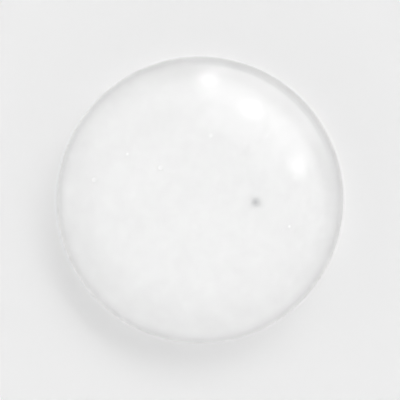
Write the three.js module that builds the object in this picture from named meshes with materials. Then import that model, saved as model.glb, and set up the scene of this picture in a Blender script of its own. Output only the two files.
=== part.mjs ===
// A self-adhesive cabinet door bumper: a clear elastomer dome on a disc of adhesive film.
//
// Units are millimetres and +Z is up. The origin is the centre of the sticky face, which goes on
// the cabinet's frame. The crown of the dome meets the closing door.

import * as THREE from "three";

// Overall size
const BUMPER_DIAMETER = 10;
const BUMPER_HEIGHT = 2.5;

// Adhesive film, held back from the edge of the dome so that it doesn't squeeze out
const FILM_THICKNESS = 0.15;
const FILM_INSET = 0.15;

// Dome, as it leaves its mould
const SKIRT_HEIGHT = 1;
const SKIRT_DRAFT = THREE.MathUtils.degToRad(5);
const SHOULDER_RADIUS = 0.55;
const FOOT_RADIUS = 0.12;

// Facets
const ROUND_SEGMENTS = 96;
const FOOT_STEPS = 3;
const SHOULDER_STEPS = 6;
const CROWN_STEPS = 20;

const QUARTER_TURN = Math.PI / 2;

function arcPoints(x, z, radius, from, to, steps) {
  return new THREE.EllipseCurve(x, z, radius, radius, from, to).getPoints(steps);
}

// The dome's half section, from the middle of its base round to the top of its crown. Each
// stretch meets the next one in a tangent: flat base, foot, drafted skirt, shoulder, crown.
function domeProfile() {
  const height = BUMPER_HEIGHT - FILM_THICKNESS;
  const baseRadius = BUMPER_DIAMETER / 2;
  const draftCos = Math.cos(SKIRT_DRAFT);
  const draftSin = Math.sin(SKIRT_DRAFT);

  // The foot bulges to the full radius. The skirt's straight line leaves it in a tangent and
  // passes the origin at the distance skirtOffset.
  const footX = baseRadius - FOOT_RADIUS;
  const skirtOffset = footX * draftCos + FOOT_RADIUS * draftSin + FOOT_RADIUS;

  // The crown is a ball that touches the top and would meet the skirt at its upper edge.
  const skirtTopRadius = (skirtOffset - SKIRT_HEIGHT * draftSin) / draftCos;
  const crownRise = height - SKIRT_HEIGHT;
  const crownRadius = (skirtTopRadius ** 2 + crownRise ** 2) / (2 * crownRise);
  const crownCentreZ = height - crownRadius;

  // The shoulder's centre lies its own radius inside both the skirt and the crown. It is found
  // from the crown's centre by going across to the skirt, and then along it.
  const across = skirtOffset - SHOULDER_RADIUS - crownCentreZ * draftSin;
  const along = Math.sqrt((crownRadius - SHOULDER_RADIUS) ** 2 - across ** 2);
  const shoulderX = across * draftCos - along * draftSin;
  const shoulderZ = crownCentreZ + across * draftSin + along * draftCos;
  const crownStart = Math.atan2(shoulderZ - crownCentreZ, shoulderX);

  const foot = arcPoints(footX, FOOT_RADIUS, FOOT_RADIUS, -QUARTER_TURN, SKIRT_DRAFT, FOOT_STEPS);
  const shoulder = arcPoints(
    shoulderX,
    shoulderZ,
    SHOULDER_RADIUS,
    SKIRT_DRAFT,
    crownStart,
    SHOULDER_STEPS,
  );
  const crown = arcPoints(0, crownCentreZ, crownRadius, crownStart, QUARTER_TURN, CROWN_STEPS);
  const profile = [new THREE.Vector2(0, 0), ...foot, ...shoulder, ...crown.slice(1)];
  profile.at(-1).setX(0);
  return profile;
}

function clearMaterial(color, roughness, opacity) {
  return new THREE.MeshStandardMaterial({
    color,
    roughness,
    metalness: 0,
    transparent: true,
    opacity,
  });
}

// Turned about the profile's own upright axis, which is then laid along +Z.
function makeDome() {
  const geometry = new THREE.LatheGeometry(domeProfile(), ROUND_SEGMENTS);
  geometry.rotateX(QUARTER_TURN);
  const dome = new THREE.Mesh(geometry, clearMaterial(0xf3f4f4, 0.06, 0.4));
  dome.name = "dome";
  dome.position.z = FILM_THICKNESS;
  return dome;
}

function makeAdhesiveFilm() {
  const radius = BUMPER_DIAMETER / 2 - FILM_INSET;
  const geometry = new THREE.CylinderGeometry(radius, radius, FILM_THICKNESS, ROUND_SEGMENTS);
  geometry.rotateX(QUARTER_TURN);
  const film = new THREE.Mesh(geometry, clearMaterial(0xf1f1ee, 0.35, 0.55));
  film.name = "adhesive_film";
  film.position.z = FILM_THICKNESS / 2;
  return film;
}

const bumper = new THREE.Group();
bumper.name = "cabinet_door_bumper";
bumper.add(makeAdhesiveFilm(), makeDome());

export default bumper;
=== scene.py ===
"""The looks of a clear stick-on cabinet door bumper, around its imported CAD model.

Units are metres and +Z is up. The picture looks straight down on the crown, as the photograph
does.
"""

import math

import bpy
import numpy as np
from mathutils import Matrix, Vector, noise


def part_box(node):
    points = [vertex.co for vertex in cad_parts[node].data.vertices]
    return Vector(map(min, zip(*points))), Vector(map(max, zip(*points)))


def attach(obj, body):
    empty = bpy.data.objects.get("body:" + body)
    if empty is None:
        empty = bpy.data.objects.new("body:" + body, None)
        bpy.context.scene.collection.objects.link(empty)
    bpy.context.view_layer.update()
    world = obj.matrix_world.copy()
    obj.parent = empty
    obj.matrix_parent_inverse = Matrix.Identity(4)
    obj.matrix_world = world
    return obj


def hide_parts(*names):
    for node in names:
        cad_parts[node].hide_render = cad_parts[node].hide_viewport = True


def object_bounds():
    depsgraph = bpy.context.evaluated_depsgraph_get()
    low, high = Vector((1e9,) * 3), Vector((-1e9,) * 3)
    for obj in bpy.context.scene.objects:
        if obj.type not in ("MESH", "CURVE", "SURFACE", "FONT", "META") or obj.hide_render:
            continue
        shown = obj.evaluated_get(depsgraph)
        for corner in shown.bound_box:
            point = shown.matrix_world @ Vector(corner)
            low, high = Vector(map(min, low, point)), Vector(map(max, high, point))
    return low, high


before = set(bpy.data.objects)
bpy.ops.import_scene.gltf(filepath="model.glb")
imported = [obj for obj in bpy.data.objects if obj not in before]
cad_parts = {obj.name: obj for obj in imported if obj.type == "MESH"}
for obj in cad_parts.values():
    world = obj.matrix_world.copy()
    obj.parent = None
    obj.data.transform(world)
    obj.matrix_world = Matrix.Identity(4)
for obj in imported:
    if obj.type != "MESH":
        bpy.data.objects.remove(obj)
cad_low, cad_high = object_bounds()

MM = 0.001

# Dome section, beside the diameter and height that the frame gives
SKIRT_HEIGHT = 1.0 * MM
SKIRT_DRAFT = math.radians(5)
SHOULDER_RADIUS = 0.55 * MM
FOOT_RADIUS = 0.12 * MM

# Fineness of the meshes
ROUND_SEGMENTS = 320
BASE_STEPS = 12
FOOT_STEPS = 8
SKIRT_STEPS = 3
SHOULDER_STEPS = 18
CROWN_STEPS = 96

# Slow unevenness that the resin keeps from its mould: how deep, and how far from swell to swell
SWELL_DEPTH = 0.004 * MM
SWELL_PITCH = 2.2 * MM

# Air left between faces that touch, so that a ray never meets two at once
HAIR = 0.01 * MM

# Elastomer: almost colourless, and glossy with a fine scuff
ELASTOMER_TINT = (1.0, 1.0, 1.0, 1)
ELASTOMER_DEEP_TINT = (0.996, 0.997, 0.997, 1)
ELASTOMER_TINT_PITCH = 2.4 * MM
ELASTOMER_IOR = 1.5
GLOSS_SMOOTH = 0.012
GLOSS_SCUFFED = 0.04
SCUFF_PITCH = 0.5 * MM
SCUFF_DETAIL = 5.0
SCUFF_RANGE = (0.45, 0.75)
RIPPLE_DEPTH = 0.0015 * MM
RIPPLE_PITCH = 0.8 * MM

# Rim: painted shade, a grey band round the shoulder that darkens the rim, also duller than the
# crown, between these heights
RIM_PAINTED_SHADE = (0.74, 0.74, 0.74, 1)
RIM_GLOSS = 0.2
RIM_FOOT = 0.85 * MM
RIM_LOW = 1.0 * MM
RIM_HIGH = 1.18 * MM
RIM_TOP = 1.37 * MM

# Adhesive: a haze that lets the surface behind it show, with bubbles and one speck in it
HAZE = (0.998, 0.998, 0.998, 1)
HAZE_DULL = (0.985, 0.985, 0.985, 1)
HAZE_COVER_LOW = 0.31
HAZE_COVER_HIGH = 0.37
HAZE_PITCH = 1.6 * MM
HAZE_DETAIL = 4.0
HAZE_RANGE = (0.35, 0.65)
HAZE_ROUGHNESS = (0.45, 0.6)
HAZE_RELIEF = 0.004 * MM
BUBBLE_COVER = 0.22
BUBBLE_PITCH = 0.9 * MM
BUBBLE_CORE = 0.07
BUBBLE_EDGE = 0.11
BUBBLE_FIELD_PITCH = 2.0 * MM
BUBBLE_FIELD_RANGE = (0.5, 0.6)
SPECK_PLACE = (1.78 * MM, -0.07 * MM, 0)
SPECK_RADIUS = 0.11 * MM
SPECK_FADE = 1.6 * SPECK_RADIUS
SPECK_COLOUR = (0.45, 0.46, 0.47, 1)

# Floor: thick pale card that lets light creep a little way sideways
FLOOR_SIZE = 3.0
FLOOR_PALE = (0.993, 0.992, 0.993, 1)
FLOOR_DULL = (0.983, 0.982, 0.983, 1)
FLOOR_CREEP = 0.19 * MM
FLOOR_CLOUD_PITCH = 3.5 * MM
FLOOR_CLOUD_DETAIL = 3.0
FLOOR_GRAIN_PITCH = 0.25 * MM
FLOOR_GRAIN_DETAIL = 4.0
FLOOR_ROUGHNESS = (0.55, 0.7)
FLOOR_RELIEF = 0.001 * MM

# Most of a noise's values lie in this range
NOISE_RANGE = (0.3, 0.7)

# Light: a pale sky, darker overhead and dimmed at the horizon, with one wide soft window that
# fades upwards and three small soft lamps, each at an azimuth and elevation in degrees
SKY_LOW = 1.49
SKY_HIGH = 0.45
HORIZON_SHARE = 0.7
HORIZON_REACH = math.radians(18)
WINDOW_AZIMUTH = math.radians(56)
WINDOW_HALF_WIDTH = math.radians(32.4)
WINDOW_BOTTOM = math.radians(29)
WINDOW_TOP = math.radians(60)
WINDOW_EDGE = math.radians(5.8)
WINDOW_SIDE_EDGE = math.radians(21.9)
WINDOW_LOW_LUMINANCE = 1.9
WINDOW_HIGH_LUMINANCE = 0.86
WINDOW_RIGHT_SHARE = 0.9
WINDOW_LEFT_SHARE = 1.1
LAMPS = ((86, 37), (60, 45), (19, 45))
LAMP_SPREAD = math.radians(2.8)
LAMP_LUMINANCE = 3.9
SKY_MAP_SIZE = 512

# Camera and picture
DOME_SHARE_OF_PICTURE = 0.72
LENS_MM = 400
SENSOR_MM = 36
CLIP_NEAR = 0.001
CLIP_FAR = 10
MOST_BOUNCES = 36


# Meshes


def arc(x, z, radius, start, end, steps):
    """Points of an arc in the half section, both ends in."""
    angles = np.linspace(start, end, steps + 1)
    return [(x + radius * math.cos(a), z + radius * math.sin(a)) for a in angles]


def dome_section(radius, low, high):
    """The half section from the middle of the base to the top of the crown, as (r, z) points.

    Flat base, foot, drafted skirt, shoulder and crown, each tangent to the next.
    """
    draft_cos, draft_sin = math.cos(SKIRT_DRAFT), math.sin(SKIRT_DRAFT)
    height = high - low
    foot_x = radius - FOOT_RADIUS
    skirt_offset = foot_x * draft_cos + FOOT_RADIUS * draft_sin + FOOT_RADIUS
    skirt_top = (skirt_offset - SKIRT_HEIGHT * draft_sin) / draft_cos
    rise = height - SKIRT_HEIGHT
    crown_radius = (skirt_top**2 + rise**2) / (2 * rise)
    crown_z = height - crown_radius
    across = skirt_offset - SHOULDER_RADIUS - crown_z * draft_sin
    along = math.sqrt((crown_radius - SHOULDER_RADIUS) ** 2 - across**2)
    shoulder_x = across * draft_cos - along * draft_sin
    shoulder_z = crown_z + across * draft_sin + along * draft_cos
    crown_start = math.atan2(shoulder_z - crown_z, shoulder_x)

    base = [(foot_x * k / BASE_STEPS, 0.0) for k in range(BASE_STEPS)]
    foot = arc(foot_x, FOOT_RADIUS, FOOT_RADIUS, -math.pi / 2, SKIRT_DRAFT, FOOT_STEPS)
    shoulder = arc(
        shoulder_x, shoulder_z, SHOULDER_RADIUS, SKIRT_DRAFT, crown_start, SHOULDER_STEPS
    )
    crown = arc(0.0, crown_z, crown_radius, crown_start, math.pi / 2, CROWN_STEPS)
    (x0, z0), (x1, z1) = foot[-1], shoulder[0]
    shares = [k / SKIRT_STEPS for k in range(1, SKIRT_STEPS)]
    skirt = [(x0 + (x1 - x0) * s, z0 + (z1 - z0) * s) for s in shares]
    section = base + foot + skirt + shoulder + crown[1:]
    return [(r, low + z) for r, z in section]


def revolve(name, section):
    """A closed smooth mesh of a half section that starts and ends on the Z axis."""
    ring_count = len(section) - 2
    turns = np.linspace(0, 2 * math.pi, ROUND_SEGMENTS, endpoint=False)
    points = [(0.0, 0.0, section[0][1])]
    for r, z in section[1:-1]:
        points += [(r * math.cos(t), r * math.sin(t), z) for t in turns]
    points.append((0.0, 0.0, section[-1][1]))
    top = len(points) - 1

    def at(ring, turn):
        return 1 + ring * ROUND_SEGMENTS + turn % ROUND_SEGMENTS

    faces = []
    for k in range(ROUND_SEGMENTS):
        faces.append((0, at(0, k + 1), at(0, k)))
        for ring in range(ring_count - 1):
            faces.append((at(ring, k), at(ring, k + 1), at(ring + 1, k + 1), at(ring + 1, k)))
        faces.append((at(ring_count - 1, k), at(ring_count - 1, k + 1), top))
    mesh = bpy.data.meshes.new(name)
    mesh.from_pydata(points, [], faces)
    mesh.validate()
    mesh.shade_smooth()
    piece = bpy.data.objects.new(name, mesh)
    bpy.context.scene.collection.objects.link(piece)
    return piece


def swell(piece, low):
    """Sinks the free surface by a slow noise, and leaves the base and the foot as they are."""
    mesh = piece.data
    places = [vertex.co.copy() for vertex in mesh.vertices]
    normals = [vertex.normal.copy() for vertex in mesh.vertices]
    for k, (place, normal) in enumerate(zip(places, normals)):
        if place.z > low + FOOT_RADIUS:
            sunk = 0.5 + 0.5 * noise.noise(place / SWELL_PITCH)
            places[k] = place - normal * SWELL_DEPTH * min(max(sunk, 0.0), 1.0)
    mesh.vertices.foreach_set("co", [c for place in places for c in place])
    mesh.update()


# Node helpers


def new_material(name):
    """A material with its node tree and its one shader."""
    material = bpy.data.materials.new(name)
    material.use_nodes = True
    tree = material.node_tree
    return material, tree, tree.nodes["Principled BSDF"]


def add(tree, kind, **values):
    """A node with its properties and, where the name has a socket, its inputs set."""
    node = tree.nodes.new(kind)
    for key, value in values.items():
        if key in node.inputs:
            node.inputs[key].default_value = value
        else:
            setattr(node, key, value)
    return node


def object_place(tree):
    """The place of a point in its own object."""
    return add(tree, "ShaderNodeTexCoord").outputs["Object"]


def noise_at(tree, place, pitch, detail=2.0):
    """A soft noise from 0 to 1 whose lumps lie about a pitch apart."""
    node = add(tree, "ShaderNodeTexNoise", Scale=1 / pitch, Detail=detail)
    tree.links.new(place, node.inputs["Vector"])
    return node.outputs["Fac"]


def spread(tree, value, start, end, low, high, interpolation_type="LINEAR"):
    """The value's run from start to end, laid on low to high and held there."""
    node = add(tree, "ShaderNodeMapRange", interpolation_type=interpolation_type)
    names = ("From Min", "From Max", "To Min", "To Max")
    for name, bound in zip(names, (start, end, low, high)):
        node.inputs[name].default_value = bound
    tree.links.new(value, node.inputs["Value"])
    return node.outputs["Result"]


def math_of(tree, operation, a, b=None):
    """One math node on a value or two, each a number or a socket."""
    node = add(tree, "ShaderNodeMath", operation=operation)
    for socket, value in zip(node.inputs, (a, b)):
        if isinstance(value, bpy.types.NodeSocket):
            tree.links.new(value, socket)
        elif value is not None:
            socket.default_value = value
    return node.outputs["Value"]


def blend(tree, share, first, second):
    """A colour between two, each a colour or a socket."""
    node = add(tree, "ShaderNodeMix", data_type="RGBA")
    sockets = {socket.identifier: socket for socket in node.inputs}
    tree.links.new(share, sockets["Factor_Float"])
    for name, value in (("A_Color", first), ("B_Color", second)):
        if isinstance(value, bpy.types.NodeSocket):
            tree.links.new(value, sockets[name])
        else:
            sockets[name].default_value = value
    return next(socket for socket in node.outputs if socket.identifier == "Result_Color")


def reach(tree, vector, axis):
    """How far a place or direction reaches along an axis."""
    node = add(tree, "ShaderNodeVectorMath", operation="DOT_PRODUCT")
    tree.links.new(vector, node.inputs[0])
    node.inputs[1].default_value = axis
    return node.outputs["Value"]


def bump(tree, shader, height, depth):
    """Gives the shader a relief of a depth from a height between 0 and 1."""
    node = add(tree, "ShaderNodeBump", Distance=depth)
    tree.links.new(height, node.inputs["Height"])
    tree.links.new(node.outputs["Normal"], shader.inputs["Normal"])


# Materials


def clear_elastomer():
    """Clear and glossy, with painted shade: a greyer and duller band round the shoulder that
    darkens the rim.
    """
    material, tree, shader = new_material("clear_elastomer")
    place = object_place(tree)
    shader.inputs["Transmission Weight"].default_value = 1.0
    shader.inputs["IOR"].default_value = ELASTOMER_IOR
    cloud = noise_at(tree, place, ELASTOMER_TINT_PITCH)
    height = reach(tree, place, (0, 0, 1))
    # painted shade: a grey band round the shoulder, between these heights, darkens the rim
    rim_below = spread(tree, height, RIM_TOP, RIM_HIGH, 0.0, 1.0, "SMOOTHSTEP")
    rim_above = spread(tree, height, RIM_FOOT, RIM_LOW, 0.0, 1.0, "SMOOTHSTEP")
    painted_rim_shade = math_of(tree, "MULTIPLY", rim_below, rim_above)
    tint = blend(tree, cloud, ELASTOMER_TINT, ELASTOMER_DEEP_TINT)
    # the band's grey is painted shade on the rim
    tree.links.new(blend(tree, painted_rim_shade, tint, RIM_PAINTED_SHADE), shader.inputs["Base Color"])
    scuff = noise_at(tree, place, SCUFF_PITCH, SCUFF_DETAIL)
    gloss = spread(tree, scuff, *SCUFF_RANGE, GLOSS_SMOOTH, GLOSS_SCUFFED)
    dull = math_of(tree, "MULTIPLY", painted_rim_shade, RIM_GLOSS)
    tree.links.new(math_of(tree, "MAXIMUM", gloss, dull), shader.inputs["Roughness"])
    bump(tree, shader, noise_at(tree, place, RIPPLE_PITCH), RIPPLE_DEPTH)
    return material


def adhesive():
    """Haze with clouds of better and worse contact, small trapped bubbles and one grey speck."""
    material, tree, shader = new_material("adhesive_haze")
    place = object_place(tree)
    shader.inputs["Specular IOR Level"].default_value = 0.0
    cloud = noise_at(tree, place, HAZE_PITCH, HAZE_DETAIL)
    cover = spread(tree, cloud, *HAZE_RANGE, HAZE_COVER_LOW, HAZE_COVER_HIGH)

    cells = add(tree, "ShaderNodeTexVoronoi", Scale=1 / BUBBLE_PITCH, Randomness=1.0)
    tree.links.new(place, cells.inputs["Vector"])
    middle = cells.outputs["Distance"]
    bubble = spread(tree, middle, BUBBLE_CORE, BUBBLE_EDGE, 1.0, 0.0, "SMOOTHSTEP")
    field = noise_at(tree, place, BUBBLE_FIELD_PITCH)
    bubble = math_of(tree, "MULTIPLY", bubble, spread(tree, field, *BUBBLE_FIELD_RANGE, 0.0, 1.0))

    gap = add(tree, "ShaderNodeVectorMath", operation="DISTANCE")
    tree.links.new(place, gap.inputs[0])
    gap.inputs[1].default_value = SPECK_PLACE
    away = gap.outputs["Value"]
    speck = spread(tree, away, SPECK_RADIUS, SPECK_FADE, 1.0, 0.0, "SMOOTHSTEP")

    colour = blend(tree, cloud, HAZE_DULL, HAZE)
    colour = blend(tree, speck, colour, SPECK_COLOUR)
    tree.links.new(colour, shader.inputs["Base Color"])
    cover = math_of(tree, "ADD", cover, math_of(tree, "MULTIPLY", bubble, BUBBLE_COVER))
    cover = math_of(tree, "MAXIMUM", cover, speck)
    tree.links.new(cover, shader.inputs["Alpha"])
    dull = spread(tree, cloud, *NOISE_RANGE, *HAZE_ROUGHNESS)
    tree.links.new(dull, shader.inputs["Roughness"])
    bump(tree, shader, cloud, HAZE_RELIEF)
    return material


def floor_material():
    """Matt pale card with a faint cloud and grain."""
    material, tree, shader = new_material("floor")
    place = object_place(tree)
    shader.inputs["Specular IOR Level"].default_value = 0.0
    shader.inputs["Subsurface Weight"].default_value = 1.0
    shader.inputs["Subsurface Radius"].default_value = (1, 1, 1)
    shader.inputs["Subsurface Scale"].default_value = FLOOR_CREEP
    cloud = noise_at(tree, place, FLOOR_CLOUD_PITCH, FLOOR_CLOUD_DETAIL)
    tree.links.new(blend(tree, cloud, FLOOR_DULL, FLOOR_PALE), shader.inputs["Base Color"])
    grain = noise_at(tree, place, FLOOR_GRAIN_PITCH, FLOOR_GRAIN_DETAIL)
    dull = spread(tree, grain, *NOISE_RANGE, *FLOOR_ROUGHNESS)
    tree.links.new(dull, shader.inputs["Roughness"])
    bump(tree, shader, grain, FLOOR_RELIEF)
    return material


# Pieces


def make_dome():
    """The clear body. Its flat base carries the adhesive's haze."""
    low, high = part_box("dome")
    radius = (high.x - low.x) / 2
    dome = revolve("clear_dome", dome_section(radius, low.z, high.z))
    swell(dome, low.z)
    dome.data.materials.append(clear_elastomer())
    dome.data.materials.append(adhesive_material)
    for face in dome.data.polygons:
        if all(dome.data.vertices[v].co.z < low.z + HAIR / 10 for v in face.vertices):
            face.material_index = 1
    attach(dome, "root")
    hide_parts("dome")


def make_film():
    """The disc of adhesive film, a hair below the dome's base."""
    low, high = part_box("adhesive_film")
    radius = (high.x - low.x) / 2
    top = high.z - HAIR
    rings = [(radius * k / BASE_STEPS, low.z) for k in range(BASE_STEPS)]
    section = rings + [(radius, low.z), (radius, top)]
    section += [(r, top) for r, z in reversed(rings)]
    film = revolve("film_disc", section)
    film.data.materials.append(adhesive_material)
    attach(film, "root")
    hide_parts("adhesive_film")


# Stage


def make_floor(level):
    """The pale card that the bumper lies on."""
    mesh = bpy.data.meshes.new("floor")
    half = FLOOR_SIZE / 2
    corners = [(-half, -half), (half, -half), (half, half), (-half, half)]
    mesh.from_pydata([(x, y, level) for x, y in corners], [], [(0, 1, 2, 3)])
    mesh.materials.append(floor_material())
    floor = bpy.data.objects.new("floor", mesh)
    bpy.context.scene.collection.objects.link(floor)


def make_sky():
    """Lights the scene by the direction alone that a ray leaves in."""
    world = bpy.data.worlds.new("studio")
    bpy.context.scene.world = world
    world.use_nodes = True
    tree = world.node_tree
    direction = add(tree, "ShaderNodeTexCoord").outputs["Generated"]
    cos, sin = math.cos(WINDOW_AZIMUTH), math.sin(WINDOW_AZIMUTH)
    ahead = reach(tree, direction, (cos, sin, 0))
    left = reach(tree, direction, (-sin, cos, 0))
    up = reach(tree, direction, (0, 0, 1))
    turn = math_of(tree, "ARCTAN2", left, ahead)
    rise = math_of(tree, "ARCSINE", up)

    half_edge, half_side = WINDOW_EDGE / 2, WINDOW_SIDE_EDGE / 2
    width, bottom, top = WINDOW_HALF_WIDTH, WINDOW_BOTTOM, WINDOW_TOP
    aside = math_of(tree, "ABSOLUTE", turn)
    window = spread(tree, aside, width + half_side, width - half_side, 0, 1, "SMOOTHSTEP")
    low_edge = spread(tree, rise, bottom - half_edge, bottom + half_edge, 0, 1, "SMOOTHSTEP")
    high_edge = spread(tree, rise, top + half_edge, top - half_edge, 0, 1, "SMOOTHSTEP")
    falloff = spread(tree, rise, bottom, top, WINDOW_LOW_LUMINANCE, WINDOW_HIGH_LUMINANCE)
    sweep = spread(tree, turn, -width, width, WINDOW_RIGHT_SHARE, WINDOW_LEFT_SHARE)
    for factor in (low_edge, high_edge, falloff, sweep):
        window = math_of(tree, "MULTIPLY", window, factor)
    for azimuth, elevation in LAMPS:
        a, e = math.radians(azimuth), math.radians(elevation)
        lamp = (math.cos(e) * math.cos(a), math.cos(e) * math.sin(a), math.sin(e))
        near = reach(tree, direction, lamp)
        fall = math_of(tree, "DIVIDE", math_of(tree, "SUBTRACT", near, 1.0), LAMP_SPREAD**2)
        glow = math_of(tree, "MULTIPLY", math_of(tree, "EXPONENT", fall), LAMP_LUMINANCE)
        window = math_of(tree, "ADD", window, glow)
    sky = spread(tree, up, 0, 1, SKY_LOW, SKY_HIGH)
    dusk = spread(tree, rise, 0, HORIZON_REACH, HORIZON_SHARE, 1, "SMOOTHSTEP")
    sky = math_of(tree, "MULTIPLY", sky, dusk)
    background = tree.nodes["Background"]
    background.inputs["Color"].default_value = (1, 1, 1, 1)
    tree.links.new(math_of(tree, "ADD", window, sky), background.inputs["Strength"])
    world.cycles.sampling_method = "MANUAL"
    world.cycles.sample_map_resolution = SKY_MAP_SIZE


def make_camera():
    """A long lens straight above, so that the dome fills its share of the picture."""
    data = bpy.data.cameras.new("camera")
    data.lens = LENS_MM
    data.sensor_width = SENSOR_MM
    camera = bpy.data.objects.new("camera", data)
    bpy.context.scene.collection.objects.link(camera)
    wide = (cad_high.x - cad_low.x) / DOME_SHARE_OF_PICTURE
    camera.location = (0, 0, wide * LENS_MM / SENSOR_MM)
    data.clip_start = CLIP_NEAR
    data.clip_end = CLIP_FAR
    bpy.context.scene.camera = camera


def set_picture():
    """Colours as they come, and enough bounces for the clear body."""
    scene = bpy.context.scene
    scene.view_settings.view_transform = "Standard"
    scene.cycles.use_denoising = True
    # light that a clear body traps keeps its strength only with many bounces and no blur
    scene.cycles.blur_glossy = 0.0
    scene.cycles.max_bounces = MOST_BOUNCES
    scene.cycles.diffuse_bounces = MOST_BOUNCES
    scene.cycles.glossy_bounces = MOST_BOUNCES
    scene.cycles.transmission_bounces = MOST_BOUNCES
    scene.cycles.transparent_max_bounces = MOST_BOUNCES


adhesive_material = adhesive()
make_camera()
make_dome()
make_film()
make_floor(cad_low.z - 2 * HAIR)
make_sky()
set_picture()
